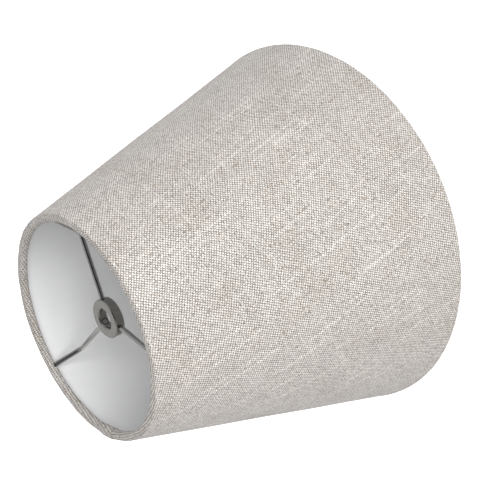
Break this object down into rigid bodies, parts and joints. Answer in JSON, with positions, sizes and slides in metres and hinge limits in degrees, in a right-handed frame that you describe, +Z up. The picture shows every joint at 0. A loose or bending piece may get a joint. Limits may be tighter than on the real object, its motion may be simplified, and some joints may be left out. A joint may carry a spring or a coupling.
{
  "type": "lamp shade",
  "caption": "Tapered hardback shade in woven linen with a white lining, rolled edges and a recessed spider fitter that clamps on a table lamp's harp.",
  "frame": {"origin": "centre of the hub's bore, halfway through the hub's thickness, where the shade sits on a lamp's harp", "axes": "+Z up along the shade's axis as it hangs in use, towards the small end; +X along the first arm"},
  "size_m": [0.2278, 0.2278, 0.1703],
  "materials": {
    "linen": "plain weave in natural flax, undyed, with pale slubs and brown flecks",
    "lining_plastic": "smooth matt white sheet",
    "nickel": "polished nickel plate",
    "ring_steel": "white coated wire",
    "tape": "clear double-sided tape"
  },
  "bodies": {
    "root": {"hub": "nickel", "arm_1": "nickel", "arm_2": "nickel", "arm_3": "nickel", "top_ring": "ring_steel", "bottom_ring": "ring_steel", "lining_panel": "lining_plastic", "lining_seam_tape": "tape", "linen_cover": "linen"}
  },
  "joints": []
}
